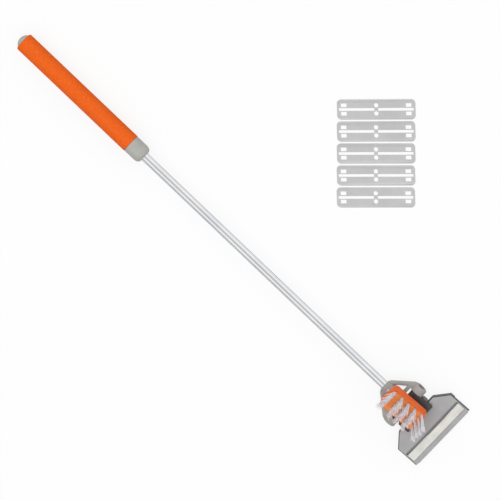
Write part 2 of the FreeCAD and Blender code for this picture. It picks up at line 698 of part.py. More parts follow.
def make_clamp_bar():
    body = new_body("clamp_bar")
    plan = sketch_on(body, "XY_Plane", bar_seat)
    rectangle(plan, "bar_place", f"-{bar_half}", "bar_place + bar_depth", bar_half)
    pad(body, plan, "bar_thickness")
    dress(body, "Fillet", "bar_corner", lambda edge: along(edge, "z"))
    top = size("holder_top") - size("bar_recess") + size("bar_thickness")
    dress(body, "Chamfer", "bar_chamfer", lambda edge: all_at(edge, "z", top))
    for place in keeper_screw_places:
        screw = sketch_on(body, "XY_Plane", bar_seat)
        circle(screw, blade_middle, place, "keeper_screw_radius + fit_gap")
        pocket(body, screw, "bar_thickness - keeper_screw_stop + screw_tip_gap", reverse=True)
    finish(body, "clamp_bar", head_place)


def make_blade(label, place):
    """A double-edged blade, drawn about its middle with its flat side down."""
    body = new_body(label)
    plan = sketch_on(body, "XY_Plane")
    rectangle(plan, "-blade_depth / 2", "-blade_length / 2", "blade_depth / 2", "blade_length / 2")
    pad(body, plan, "blade_thickness")
    dress(body, "Fillet", "blade_corner", lambda edge: along(edge, "z"))
    cuts = sketch_on(body, "XY_Plane", "blade_thickness")
    for side in ("1", "-1"):
        near = f"{side} * slot_web / 2"
        far = f"{side} * (slot_web / 2 + {slot_length})"
        rectangle(cuts, "-slot_width / 2", near, "slot_width / 2", far)
        circle(cuts, f"{side} * hole_offset", "0", "hole_radius")
        for row in ("1", "-1"):
            x = f"{row} * window_offset"
            y = f"{side} * (blade_length / 2 - window_inset)"
            rectangle(cuts, f"{x} - window_width / 2", f"{y} - window_length / 2",
                      f"{x} + window_width / 2", f"{y} + window_length / 2")
    pocket(body, cuts, "blade_thickness")
    # the long edges are ground from above
    grind = sketch_on(body, "XZ_Plane")
    for side in ("1", "-1"):
        polygon(grind, [(f"{side} * (blade_depth / 2 - blade_bevel)", "blade_thickness"),
                        (f"{side} * (blade_depth / 2 + 1)", "blade_thickness"),
                        (f"{side} * (blade_depth / 2 + 1)", "blade_land"),
                        (f"{side} * blade_depth / 2", "blade_land")])
    pocket(body, grind, "2 * blade_length", symmetric=True)
    finish(body, label, place)


def make_blade_keeper():
    body = new_body("blade_keeper")
    plan = sketch_on(body, "XY_Plane", f"{blade_under} - keeper_thickness")
    rectangle(plan, f"{blade_middle} - keeper_depth / 2", f"-{keeper_half}",
              f"{blade_middle} + keeper_depth / 2", keeper_half)
    pad(body, plan, "keeper_thickness")
    dress(body, "Fillet", "keeper_corner", lambda edge: along(edge, "z"))
    for place in keeper_screw_places:
        seat = sketch_on(body, "XY_Plane", f"{blade_under} - keeper_thickness")
        circle(seat, blade_middle, place, "keeper_head_radius + fit_gap")
        hole = pocket(body, seat, "keeper_thickness", reverse=True)
        hole.TaperAngle = -40
        doc.recompute()
    finish(body, "blade_keeper", head_place)


def make_keeper_screws():
    screws = []
    under = f"({blade_under} - keeper_thickness)"
    for index, place in enumerate(keeper_screw_places, start=1):
        head = primitive("Cone", f"keeper_head_{index}", placement(blade_middle, place, under),
                         Radius1="keeper_head_radius",
                         Radius2="keeper_screw_radius", Height="keeper_thickness")
        rod = primitive("Cylinder", f"keeper_rod_{index}", placement(blade_middle, place, under),
                        Radius="keeper_screw_radius",
                        Height=f"{bar_seat} + bar_thickness - keeper_screw_stop - {under}")
        screws.append(join("MultiFuse", f"keeper_screw_{index}", [head, rod]))
    finish(join("Compound", "keeper_screws", screws), "keeper_screws", head_place)


def make_hub_screws():
    screws = []
    for index, side in enumerate(("1", "-1"), start=1):
        y = f"{side} * hub_screw_side"
        head = primitive("Cylinder", f"hub_head_{index}", placement("hub_screw_place", y, "-holder_under"),
                         Radius="hub_screw_head", Height="hub_screw_head_height")
        rod = primitive("Cylinder", f"hub_rod_{index}", placement("hub_screw_place", y, "-holder_under"),
                        Radius="hub_screw_radius", Height="holder_under + holder_top + hub_screw_bite")
        screws.append(join("MultiFuse", f"hub_screw_{index}", [head, rod]))
    finish(join("Compound", "hub_screws", screws), "hub_screws", head_place)


def make_brush_screws():
    screws = []
    for index, side in enumerate(("1", "-1"), start=1):
        y = f"(block_side + {side} * brush_screw_side)"
        seat = "(brush_screw_recess - hub_radius)"
        head = primitive("Cylinder", f"brush_head_{index}",
                         placement("brush_screw_place", y, f"{seat} - brush_screw_head_height"),
                         Radius="brush_screw_head", Height="brush_screw_head_height")
        rod = primitive("Cylinder", f"brush_rod_{index}", placement("brush_screw_place", y, seat),
                        Radius="brush_screw_radius",
                        Height=f"{seat_level(y)} - {seat} + brush_screw_bite")
        screws.append(join("MultiFuse", f"brush_screw_{index}", [head, rod]))
    finish(join("Compound", "brush_screws", screws), "brush_screws", head_place)


def tuft_cone(name, column, row, spare_room):
    """One tuft, or with some room around it the hole that it is set in."""
    x = f"{column - 2} * tuft_pitch"
    y = f"({row} - {(tuft_rows - 1) / 2}) * tuft_row_pitch + tuft_row_shift"
    sideways = placement(x, y, "block_thickness", (1, 0, 0), tuft_side_leans[column])
    lean = placement(0, 0, 0, (0, 1, 0), tuft_leans[column])
    sink = placement(0, 0, "-tuft_bore")
    return primitive("Cone", name, f"{sideways} * {lean} * {sink}",
                     Radius1=f"tuft_root + {spare_room}", Radius2=f"tuft_flare + {spare_room}",
                     Height="tuft_bore + tuft_length")


def make_brush_block():
    body = new_body("block_blank")
    plan = sketch_on(body, "XY_Plane")
    rectangle(plan, "-block_length / 2", "-block_width / 2", "block_length / 2", "block_width / 2")
    pad(body, plan, "block_thickness")
    dress(body, "Fillet", "block_corner", lambda edge: along(edge, "z"))
    top = size("block_thickness")
    dress(body, "Fillet", "block_round", lambda edge: all_at(edge, "z", top))
    cutters = []
    for column in range(len(tuft_leans)):
        for row in range(tuft_rows):
            cutters.append(tuft_cone(f"tuft_hole_{column + 1}_{row + 1}", column, row, "fit_gap"))
    upright = placement(0, 0, 0, (1, 0, 0), "-seat_cant")
    for index, side in enumerate(("1", "-1"), start=1):
        across = f"{side} * brush_screw_side"
        drop = f"(({across}) * tan(seat_cant))"
        start = placement("brush_screw_place - block_place", across, f"{drop} - brush_screw_bite")
        cutters.append(primitive("Cylinder", f"screw_hole_{index}", f"{upright} * {start}",
                                 Radius="brush_screw_radius + fit_gap",
                                 Height="2 * brush_screw_bite + screw_tip_gap"))
    block = join("Cut", "brush_block", (body, join("Compound", "block_cutters", cutters)))
    finish(block, "brush_block", block_place)


def make_tuft_column(column):
    label = f"bristle_row_{column + 1}"
    tufts = [tuft_cone(f"tuft_{column + 1}_{row + 1}", column, row, "0") for row in range(tuft_rows)]
    finish(join("Compound", label, tufts), label, block_place)


# ---- assembly ------------------------------------------------------------------------

make_handle_tube()
make_grip_sleeve()
make_grip_core()
make_grip_pin()
make_grip_collar()
make_grip_end_cap()
make_yoke()
make_yoke_rivet()
make_pivot_bolt()
make_pivot_nut()
make_friction_washer("friction_washer_left", -1)
make_friction_washer("friction_washer_right", 1)
make_pivot_bush()
make_hub()
make_holder_body()
make_clamp_bar()
make_blade("blade", head_place + " * " + placement(blade_middle, 0, blade_under))
make_blade_keeper()
make_keeper_screws()
make_hub_screws()
make_brush_screws()
make_brush_block()
for tuft_column in range(len(tuft_leans)):
    make_tuft_column(tuft_column)
for number in range(spare_blades):
    steps = f"({number} - {(spare_blades - 1) / 2})"
    down = f"{steps} * (blade_depth + spare_gap)"
    slide = f"-{steps} * spare_slide"
    place = (placement("spare_place", "spare_side", "-grip_radius", angle="spare_turn - 90")
             + " * " + placement(down, slide, 0))
    make_blade(f"spare_blade_{number + 1}", place)

doc.recompute()
for thing in doc.Objects:
    if "Invalid" in thing.State or "Error" in thing.State:
        raise RuntimeError(f"{thing.Label}: {thing.State}")
os.makedirs("parts", exist_ok=True)
for thing in sub_parts:
    shape = thing.Shape
    if shape.isNull() or not shape.isValid():
        raise RuntimeError(f"{thing.Label}: bad shape")
    shape.exportStep(f"parts/{thing.Label}.step")
    box = shape.BoundBox
    print(f"{thing.Label}: {len(shape.Solids)} solids, {shape.Volume:.1f} mm3, "
          f"x {box.XMin:.2f}..{box.XMax:.2f}, y {box.YMin:.2f}..{box.YMax:.2f}, "
          f"z {box.ZMin:.2f}..{box.ZMax:.2f}")
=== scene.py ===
import json
import math
import random

import bpy
from mathutils import Matrix, Quaternion, Vector

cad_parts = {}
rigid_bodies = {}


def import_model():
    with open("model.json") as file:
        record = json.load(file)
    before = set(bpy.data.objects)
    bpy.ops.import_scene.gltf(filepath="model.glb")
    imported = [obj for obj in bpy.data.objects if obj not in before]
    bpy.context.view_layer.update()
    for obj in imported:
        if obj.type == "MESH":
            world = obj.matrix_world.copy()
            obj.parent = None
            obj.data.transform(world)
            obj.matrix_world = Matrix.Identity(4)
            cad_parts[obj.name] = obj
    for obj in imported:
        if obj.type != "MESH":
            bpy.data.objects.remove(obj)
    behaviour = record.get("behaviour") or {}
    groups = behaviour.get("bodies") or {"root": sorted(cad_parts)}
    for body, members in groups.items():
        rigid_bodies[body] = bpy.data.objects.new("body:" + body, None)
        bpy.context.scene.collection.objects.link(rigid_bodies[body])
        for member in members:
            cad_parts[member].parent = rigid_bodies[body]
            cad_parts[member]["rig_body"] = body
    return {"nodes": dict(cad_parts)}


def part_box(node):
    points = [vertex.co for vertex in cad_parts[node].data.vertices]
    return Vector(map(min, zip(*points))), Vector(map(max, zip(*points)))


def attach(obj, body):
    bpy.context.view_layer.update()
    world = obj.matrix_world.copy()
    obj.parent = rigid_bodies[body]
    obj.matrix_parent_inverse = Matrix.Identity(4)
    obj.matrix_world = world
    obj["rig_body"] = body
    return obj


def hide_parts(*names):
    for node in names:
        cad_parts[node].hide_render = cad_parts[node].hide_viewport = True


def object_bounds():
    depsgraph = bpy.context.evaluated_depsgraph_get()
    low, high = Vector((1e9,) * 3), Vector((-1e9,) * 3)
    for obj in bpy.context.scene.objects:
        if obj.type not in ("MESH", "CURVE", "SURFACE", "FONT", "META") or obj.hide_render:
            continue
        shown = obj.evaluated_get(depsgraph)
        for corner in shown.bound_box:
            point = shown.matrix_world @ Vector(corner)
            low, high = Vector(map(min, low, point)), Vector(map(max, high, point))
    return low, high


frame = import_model()
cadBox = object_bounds()
nodes = frame["nodes"]
print("frame:", len(nodes), "CAD nodes")

# how meshes are mended and shaded: lengths in metres, angles in degrees
meshSettings = {"merge": 0.000002, "sliver": 0.00002, "flat": 0.3, "sharp": 28,
                "turnStart": 0.001, "turnSteps": 64, "turnMerge": 0.000001, "turnSharp": 32}


def clearSelection():
    if bpy.context.object and bpy.context.object.mode != "OBJECT":
        bpy.ops.object.mode_set(mode="OBJECT")
    bpy.ops.object.select_all(action="DESELECT")


def makeActive(piece):
    clearSelection()
    piece.select_set(True)
    bpy.context.view_layer.objects.active = piece


def settle(piece):  # puts the place into the mesh, so that the object sits at the origin
    makeActive(piece)
    bpy.ops.object.transform_apply(location=True, rotation=True, scale=True)


def shadeCurves(piece, sharp):  # faces that meet at less than sharp degrees shade as one
    makeActive(piece)
    bpy.ops.object.shade_smooth_by_angle(angle=math.radians(sharp))


def joinAll(pieces):
    clearSelection()
    for piece in pieces:
        piece.select_set(True)
    bpy.context.view_layer.objects.active = pieces[0]
    bpy.ops.object.join()
    return bpy.context.object


def bevelEdges(piece, wanted, **bevel):  # wanted says yes or no to an edge and its two ends
    makeActive(piece)
    mesh = piece.data
    for part in (mesh.vertices, mesh.edges, mesh.polygons):
        for item in part:
            item.select = False
    for edge in mesh.edges:
        start, end = (mesh.vertices[index].co for index in edge.vertices)
        edge.select = bool(wanted(edge, start, end))
    print(piece.name, "edges bevelled:", sum(edge.select for edge in mesh.edges))
    bpy.context.tool_settings.mesh_select_mode = (False, True, False)
    bpy.ops.object.mode_set(mode="EDIT")
    bpy.ops.mesh.bevel(affect="EDGES", **bevel)
    bpy.ops.object.mode_set(mode="OBJECT")


def copyOfNode(nodeName, pieceName):  # the CAD triangles merged, cleaned of slivers and smoothed
    clearSelection()
    piece = bpy.data.objects.new(pieceName, nodes[nodeName].data.copy())
    bpy.context.scene.collection.objects.link(piece)
    makeActive(piece)
    bpy.ops.object.mode_set(mode="EDIT")
    bpy.ops.mesh.select_all(action="SELECT")
    bpy.ops.mesh.remove_doubles(threshold=meshSettings["merge"])
    bpy.ops.mesh.customdata_custom_splitnormals_clear()
    bpy.ops.mesh.dissolve_degenerate(threshold=meshSettings["sliver"])
    bpy.ops.mesh.dissolve_limited(angle_limit=math.radians(meshSettings["flat"]), delimit={"NORMAL"})
    bpy.ops.mesh.normals_make_consistent(inside=False)
    bpy.ops.object.mode_set(mode="OBJECT")
    shadeCurves(piece, meshSettings["sharp"])
    return piece


def turnedPiece(name, profile):  # profile is (x, radius) in mm, spun about the tube's axis
    points = [(x / 1000, 0, radius / 1000) for x, radius in profile]
    clearSelection()
    bpy.ops.mesh.primitive_plane_add(size=meshSettings["turnStart"], location=points[0])
    piece = bpy.context.object
    piece.name = name
    bpy.ops.object.mode_set(mode="EDIT")
    bpy.ops.mesh.select_mode(type="VERT")
    bpy.ops.mesh.select_all(action="SELECT")
    bpy.ops.mesh.merge(type="CENTER")  # leaves the first point of the profile
    for before, after in zip(points, points[1:]):
        step = [b - a for a, b in zip(before, after)]
        bpy.ops.mesh.extrude_region_move(TRANSFORM_OT_translate={"value": step})
    bpy.ops.mesh.select_all(action="SELECT")
    bpy.ops.mesh.spin(steps=meshSettings["turnSteps"], angle=2 * math.pi, center=(0, 0, 0), axis=(1, 0, 0))
    bpy.ops.mesh.select_all(action="SELECT")
    bpy.ops.mesh.remove_doubles(threshold=meshSettings["turnMerge"])
    bpy.ops.mesh.normals_make_consistent(inside=False)
    bpy.ops.object.mode_set(mode="OBJECT")
    settle(piece)
    shadeCurves(piece, meshSettings["turnSharp"])
    return piece


def arcOfProfile(centreX, centreR, alongX, alongR, start, end, steps=6):  # angles in degrees
    angles = [math.radians(start + (end - start) * step / steps) for step in range(steps + 1)]
    return [(centreX + alongX * math.cos(a), centreR + alongR * math.sin(a)) for a in angles]


def dress(piece, nodeName, material):  # piece stands for the node and takes its body
    piece.data.materials.clear()
    piece.data.materials.append(material)
    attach(piece, nodes[nodeName]["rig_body"])
    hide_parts(nodeName)
    return piece


def colour(text):  # "#rrggbb" as linear RGBA
    channels = [int(text[i:i + 2], 16) / 255 for i in (1, 3, 5)]
    linear = [c / 12.92 if c <= 0.04045 else ((c + 0.055) / 1.055) ** 2.4 for c in channels]
    return (*linear, 1.0)


def plug(tree, node, **inputs):  # sets or links the inputs; one called _2 is the third socket
    for name, value in inputs.items():
        socket = node.inputs[int(name[1:]) if name[0] == "_" else name.replace("_", " ")]
        if isinstance(value, bpy.types.NodeSocket):
            tree.links.new(value, socket)
        else:
            socket.default_value = value
    return node


def addNode(tree, kind, settings=None, **inputs):
    made = tree.nodes.new("ShaderNode" + kind)
    for name, value in (settings or {}).items():
        setattr(made, name, value)
    return plug(tree, made, **inputs)


def newMaterial(name, **shaderValues):
    material = bpy.data.materials.new(name)
    material.use_nodes = True
    tree = material.node_tree
    return material, tree, plug(tree, tree.nodes["Principled BSDF"], **shaderValues)


# widths of the patterns in mm
patternWidths = {
    "cloud": 16.667,        # faint clouds in moulded plastic and sprayed paint
    "edgePatch": 2.8571,          # patches along an edge: rubbed wear, and painted shade and painted highlight on some materials
    "eggshell": 0.45455,    # grain of a moulded skin; about 0.1 mm in truth, drawn coarser to show
    "lineLength": 166.67,   # one brush or draw line from end to end
    "lineWidth": 0.71429,   # about 0.1 mm in truth, drawn coarser to show
    "metalPatch": 22.222,   # uneven brightness of rolled and drawn metal
    "foamCloud": 3.0303,    # mottle of the foam's skin
    "foamCell": 0.8,        # cut cells of the foam
    "milk": 6.25,           # cloudy bands in a nylon filament
}


def scaleOf(pattern):  # how many widths of the pattern go into a metre
    return 1000 / patternWidths[pattern]


noiseLow, noiseHigh = 0.3, 0.7  # nearly all of a noise lies between these
mixColours = {"data_type": "RGBA"}
multiply = {"operation": "MULTIPLY"}

# lengths in metres; edgeTurn is the likeness of the rounded and the flat normal on an edge and off it
surfaceSettings = {"samples": 6, "edgeTurn": (0.86, 0.995), "plasticEdge": 0.0004, "metalEdge": 0.00015,
                   "edgePatchShare": (0.42, 0.62), "eggshellDepth": 0.00006, "lineDepth": 0.00001}


def easedEdge(tree, radius):  # normal that rounds the edges, and how near an edge lies, 0 to 1
    eased = addNode(tree, "Bevel", {"samples": surfaceSettings["samples"]}, Radius=radius).outputs["Normal"]
    flat = addNode(tree, "NewGeometry").outputs["Normal"]
    likeness = addNode(tree, "VectorMath", {"operation": "DOT_PRODUCT"}, _0=eased, _1=flat)
    onEdge, offEdge = surfaceSettings["edgeTurn"]
    near = addNode(tree, "MapRange", _0=likeness.outputs["Value"], _1=onEdge, _2=offEdge, _3=1.0, _4=0.0)
    return eased, near.outputs["Result"]


# moulded or sprayed pieces: faint clouds, a fine eggshell grain, and edges in patches of another shade:
# rubbed wear on some, painted shade and painted highlight on others
def mouldedSkin(name, dark, light, roughLow, roughHigh, edgeWearAndPaintedLight=None, radius=surfaceSettings["plasticEdge"]):
    material, tree, shader = newMaterial(name)
    place = addNode(tree, "TexCoord").outputs["Object"]
    cloud = addNode(tree, "TexNoise", Vector=place, Scale=scaleOf("cloud"), Detail=3)
    share = addNode(tree, "MapRange", _0=cloud.outputs["Fac"], _1=noiseLow, _2=noiseHigh).outputs["Result"]
    base = addNode(tree, "Mix", mixColours, _0=share, _6=colour(dark), _7=colour(light)).outputs[2]
    eased, nearEdge = easedEdge(tree, radius)
    if edgeWearAndPaintedLight:
        patch = addNode(tree, "TexNoise", Vector=place, Scale=scaleOf("edgePatch"), Detail=3).outputs["Fac"]
        edgePatchFrom, edgePatchTo = surfaceSettings["edgePatchShare"]
        patchy = addNode(tree, "MapRange", _0=patch, _1=edgePatchFrom, _2=edgePatchTo).outputs["Result"]
        share = addNode(tree, "Math", multiply, _0=nearEdge, _1=patchy).outputs[0]
        base = addNode(tree, "Mix", mixColours, _0=share, _6=base, _7=colour(edgeWearAndPaintedLight)).outputs[2]
    grain = addNode(tree, "TexNoise", Vector=place, Scale=scaleOf("eggshell"), Detail=2).outputs["Fac"]
    rough = addNode(tree, "MapRange", _0=grain, _1=noiseLow, _2=noiseHigh, _3=roughLow, _4=roughHigh)
    bump = addNode(tree, "Bump", Height=grain, Distance=surfaceSettings["eggshellDepth"], Strength=1.0,
                   Normal=eased)
    plug(tree, shader, Base_Color=base, Roughness=rough.outputs["Result"], Normal=bump.outputs["Normal"])
    return material


# brushed or drawn metal: fine lines along one axis, and faint patches; edge is its tint seen at a slant
def linedMetal(name, dark, light, roughLow, roughHigh, along, edge="#ffffff"):
    material, tree, shader = newMaterial(name, Metallic=1.0, Specular_Tint=colour(edge))
    place = addNode(tree, "TexCoord").outputs["Object"]
    scale = tuple(scaleOf("lineLength" if axis == along else "lineWidth") for axis in "XYZ")
    drawn = addNode(tree, "Mapping", Vector=place, Scale=scale).outputs["Vector"]
    lines = addNode(tree, "TexNoise", Vector=drawn, Scale=1.0, Detail=3).outputs["Fac"]
    patch = addNode(tree, "TexNoise", Vector=place, Scale=scaleOf("metalPatch"), Detail=3).outputs["Fac"]
    share = addNode(tree, "MapRange", _0=patch, _1=noiseLow, _2=noiseHigh).outputs["Result"]
    base = addNode(tree, "Mix", mixColours, _0=share, _6=colour(dark), _7=colour(light)).outputs[2]
    rough = addNode(tree, "MapRange", _0=lines, _1=noiseLow, _2=noiseHigh, _3=roughLow, _4=roughHigh)
    eased = easedEdge(tree, surfaceSettings["metalEdge"])[0]
    bump = addNode(tree, "Bump", Height=lines, Distance=surfaceSettings["lineDepth"], Strength=1.0,
                   Normal=eased)
    plug(tree, shader, Base_Color=base, Roughness=rough.outputs["Result"], Normal=bump.outputs["Normal"])
    return material


# pores take the darker colour and the higher roughness, up to a reach given as a share of a cell
foamSettings = {"dark": "#f2620f", "light": "#fd6d15", "pore": "#d24e08",
                "poreShare": 0.55, "poreReach": 0.35, "roughPore": 0.92, "roughWall": 0.7, "roughReach": 0.6,
                "depth": 0.0004, "strength": 0.8}


def makeFoam(name, f):
    material, tree, shader = newMaterial(name, Specular_IOR_Level=0.25)
    place = addNode(tree, "TexCoord").outputs["Object"]
    cloud = addNode(tree, "TexNoise", Vector=place, Scale=scaleOf("foamCloud"), Detail=4).outputs["Fac"]
    share = addNode(tree, "MapRange", _0=cloud, _1=noiseLow, _2=noiseHigh).outputs["Result"]
    skin = addNode(tree, "Mix", mixColours, _0=share, _6=colour(f["dark"]), _7=colour(f["light"]))
    pores = addNode(tree, "TexVoronoi", Vector=place, Scale=scaleOf("foamCell")).outputs["Distance"]
    deep = addNode(tree, "MapRange", _0=pores, _1=0.0, _2=f["poreReach"], _3=f["poreShare"], _4=0.0)
    base = addNode(tree, "Mix", mixColours, _0=deep.outputs["Result"], _6=skin.outputs[2],
                   _7=colour(f["pore"])).outputs[2]
    rough = addNode(tree, "MapRange", _0=pores, _1=0.0, _2=f["roughReach"], _3=f["roughPore"],
                    _4=f["roughWall"])
    bump = addNode(tree, "Bump", Height=pores, Distance=f["depth"], Strength=f["strength"])
    plug(tree, shader, Base_Color=base, Roughness=rough.outputs["Result"], Normal=bump.outputs["Normal"])
    return material


def makeBristle(name, dark, light):
    material, tree, shader = newMaterial(name, Roughness=0.4, IOR=1.53)
    place = addNode(tree, "TexCoord").outputs["Object"]
    milk = addNode(tree, "TexNoise", Vector=place, Scale=scaleOf("milk"), Detail=2).outputs["Fac"]
    share = addNode(tree, "MapRange", _0=milk, _1=noiseLow, _2=noiseHigh).outputs["Result"]
    base = addNode(tree, "Mix", mixColours, _0=share, _6=colour(dark), _7=colour(light)).outputs[2]
    plug(tree, shader, Base_Color=base)
    return material


materials = {
    # drawn and polished aluminium tube: a bright band along it, and a dark slant tint that paints a dark
    # reflection towards both sides
    "tubeAluminium": linedMetal("tubeAluminium", "#e2e3e6", "#eaebed", 0.16, 0.26, "X", edge="#303338"),
    # closed-cell rubber foam, cut: soft matt orange, speckled with open cells
    "gripFoam": makeFoam("gripFoam", foamSettings),
    # moulded black polypropylene: dark and dull
    "corePlastic": mouldedSkin("corePlastic", "#2a2a2c", "#343436", 0.5, 0.6),
    # ground steel rod: plain mid grey with lines along it
    "pinSteel": linedMetal("pinSteel", "#b0b0b0", "#bcbcbc", 0.3, 0.4, "Y"),
    # moulded grey polypropylene: even satin, a little warm
    "greyPlastic": mouldedSkin("greyPlastic", "#aeaea9", "#bbbbb5", 0.42, 0.52),
    # moulded glass-filled nylon: warm satin grey, its edges darker in patches as painted shade
    "yokePlastic": mouldedSkin("yokePlastic", "#a5a3a0", "#b0aeaa", 0.42, 0.52, "#8f8d8a", 0.0007),
    # pressed aluminium rivet: pale and satin
    "rivetAluminium": linedMetal("rivetAluminium", "#bfc1c3", "#cfd1d2", 0.3, 0.4, "Z"),
    # zinc-plated steel of bolt, nut and screws, gone dull: dark grey with a soft shine
    "boltSteel": linedMetal("boltSteel", "#6c6c6e", "#7c7c7e", 0.3, 0.42, "Y"),
    # pressed vulcanised fibre: brown, almost without shine
    "washerFibre": mouldedSkin("washerFibre", "#3b2a20", "#4a3528", 0.75, 0.85),
    # turned brass: warm yellow satin
    "bushBrass": linedMetal("bushBrass", "#c9a45c", "#d8b46c", 0.3, 0.4, "Y"),
    # moulded black nylon: warm black, its edges grey in patches: partly wear, partly a painted highlight
    "hubPlastic": mouldedSkin("hubPlastic", "#443d3f", "#4e4749", 0.38, 0.48, "#6a6365", 0.0006),
    # silver-grey paint sprayed on die-cast metal: smooth satin, paler on its rubbed edges
    "holderPaint": mouldedSkin("holderPaint", "#a9a9a9", "#b3b3b3", 0.4, 0.5, "#c4c4c4", 0.0004),
    # the same paint, darker on the upright sides and the bevelled rim as painted shade: a dark outline round
    # the holder
    "holderPaintedShade": mouldedSkin("holderPaintedShade", "#525254", "#5e5e60", 0.5, 0.6, "#77777a", 0.0004),
    # brushed aluminium bar: warm and bright, with lines along its length
    "barAluminium": linedMetal("barAluminium", "#d2d0ca", "#ebe9e3", 0.35, 0.45, "Y"),
    # rolled spring steel strip: cool light grey, with lines along the cutting edge
    "bladeSteel": linedMetal("bladeSteel", "#cccccc", "#d6d6d6", 0.3, 0.42, "Y"),
    # the same steel on the loose blades: a shade darker
    "spareSteel": linedMetal("spareSteel", "#c6c6c6", "#cecece", 0.3, 0.42, "X"),
    # zinc-plated sheet steel: flat mid grey
    "keeperSteel": linedMetal("keeperSteel", "#a8a8a8", "#b6b6b6", 0.35, 0.45, "Y"),
    # moulded orange ABS: strong satin orange, its edges rubbed paler
    "blockPlastic": mouldedSkin("blockPlastic", "#ec5f04", "#f86c0c", 0.4, 0.5, "#ff8c3a", 0.0007),
    # the same ABS on the top face: paler as painted light on the top, and duller
    "blockTopPaintedLight": mouldedSkin("blockTopPaintedLight", "#ff8c44", "#ff9852", 0.5, 0.6),
    # extruded nylon monofilament: milky white with a slight shine
    "bristleNylon": makeBristle("bristleNylon", "#fdf8fd", "#ffffff"),
}
print("materials:", len(materials))

# place in metres, turn in degrees, lens and sensor in mm
cameraSettings = {"place": (0.46843, 2.15237, 7.7049), "turn": (-10.5842, 11.5404, 42.3526), "lens": 456.3,
                  "sensor": 36}
bpy.ops.object.camera_add(location=cameraSettings["place"],
                          rotation=[math.radians(angle) for angle in cameraSettings["turn"]])
camera = bpy.context.object
camera.data.lens = cameraSettings["lens"]
camera.data.sensor_width = cameraSettings["sensor"]
bpy.context.scene.camera = camera
bpy.context.scene.view_settings.view_transform = "Standard"

# glow is how white the floor is where it is seen, bounce the colour that lights the object from below,
# wall how bright the studio is from the horizon (0.0) up to the direction of top (1.0)
stageSettings = {"size": 8.0, "below": 0.0001, "glow": 0.84, "paint": "#fbfbfb", "bounce": "#a0a0a0",
                 "top": (0.02, 0.26, 0.965),
                 "wall": ((0.0, 0.45), (0.3, 0.8), (0.75, 1.3), (0.95, 0.62))}

clearSelection()
low, high = cadBox
bpy.ops.mesh.primitive_plane_add(size=stageSettings["size"],
                                 location=((low[0] + high[0]) / 2, (low[1] + high[1]) / 2,
                                           low[2] - stageSettings["below"]))
floor = bpy.context.object
floor.name = "floor"
settle(floor)


def seenDirectly(tree, amount):  # amount for camera, glossy and transmission rays, and 0 for the rest
    path = addNode(tree, "LightPath").outputs
    seen = path["Is Camera Ray"]
    for ray in ("Is Glossy Ray", "Is Transmission Ray"):
        seen = addNode(tree, "Math", {"operation": "MAXIMUM"}, _0=seen, _1=path[ray]).outputs[0]
    return addNode(tree, "Math", multiply, _0=seen, _1=amount).outputs[0]


# matt studio floor: white where it is seen, grey for the light that it gives back
floorMaterial, tree, shader = newMaterial("paleFloor", Roughness=0.9, Specular_IOR_Level=0.0)
plug(tree, shader, Base_Color=addNode(tree, "Mix", mixColours, _0=seenDirectly(tree, 1.0),
                                      _6=colour(stageSettings["bounce"]),
                                      _7=colour(stageSettings["paint"])).outputs[2])
glow = addNode(tree, "Emission", Color=(1, 1, 1, 1), Strength=1.0)
mixed = addNode(tree, "MixShader", _0=seenDirectly(tree, stageSettings["glow"]), _1=shader.outputs[0],
                _2=glow.outputs[0])
plug(tree, tree.nodes["Material Output"], Surface=mixed.outputs[0])
floor.data.materials.append(floorMaterial)

world = bpy.data.worlds.new("studio")
bpy.context.scene.world = world
world.use_nodes = True
tree = world.node_tree
direction = addNode(tree, "TexCoord").outputs["Generated"]
height = addNode(tree, "VectorMath", {"operation": "DOT_PRODUCT"}, _0=direction, _1=stageSettings["top"])
ramp = addNode(tree, "ValToRGB", Fac=height.outputs["Value"])
stops = ramp.color_ramp.elements
stops.remove(stops[1])
for index, (place, level) in enumerate(stageSettings["wall"]):  # brightest in a ring below the top
    stop = stops[0] if index == 0 else stops.new(place)
    stop.position = place
    stop.color = (level, level, level, 1)
sky = plug(tree, tree.nodes["Background"], Color=ramp.outputs["Color"])
backdrop = addNode(tree, "Background", Color=(1, 1, 1, 1), Strength=1.0)
mixed = addNode(tree, "MixShader", _0=addNode(tree, "LightPath").outputs["Is Camera Ray"],
                _1=sky.outputs[0], _2=backdrop.outputs[0])
plug(tree, tree.nodes["World Output"], Surface=mixed.outputs[0])

# one large soft lamp from the side, in metres and watts
lampSettings = {"place": (-2.2, -0.3, 1.9), "aim": (0.3, 0.0, 0.0), "size": 1.6, "power": 6.0}
clearSelection()
bpy.ops.object.light_add(type="AREA", location=lampSettings["place"])
lamp = bpy.context.object
lamp.data.shape = "SQUARE"
lamp.data.size = lampSettings["size"]
lamp.data.energy = lampSettings["power"]
lamp.rotation_euler = (Vector(lampSettings["aim"]) - lamp.location).to_track_quat("-Z", "Y").to_euler()
print("camera, floor and light")

# in mm; rings are the extra edge loops along the sleeve: first, end and step
gripSettings = {"rear": -94, "front": 94, "radius": 12.5, "bore": 9.0, "round": 1.0, "swell": 2.5,
                "rings": (-80, 90, 10)}


def makeGrip(g):  # foam sleeve with soft ends, its butt end rounder than the front
    rear = arcOfProfile(g["rear"] + g["swell"], g["radius"] - g["swell"], g["swell"], g["swell"], 180, 90)
    front = arcOfProfile(g["front"] - g["round"], g["radius"] - g["round"], g["round"], g["round"], 90, 0)
    middle = [(x, g["radius"]) for x in range(*g["rings"])]
    profile = [(g["front"], g["bore"]), (g["rear"], g["bore"])] + rear + middle + front
    return turnedPiece("gripSleeve", profile + [(g["front"], g["bore"])])


grip = dress(makeGrip(gripSettings), "grip_sleeve", materials["gripFoam"])
print("grip")

# in mm; rings are measured from the rear
collarSettings = {"rear": 94, "front": 118, "radius": 12.2, "nose": 7.3, "noseEnd": 8, "noseSteps": 10,
                  "tip": 6.9, "bore": 5.6, "chamfer": 0.5, "socket": 102, "socketRadius": 9.0,
                  "lip": 0.4, "lipSteps": 3, "rings": (6, 12)}


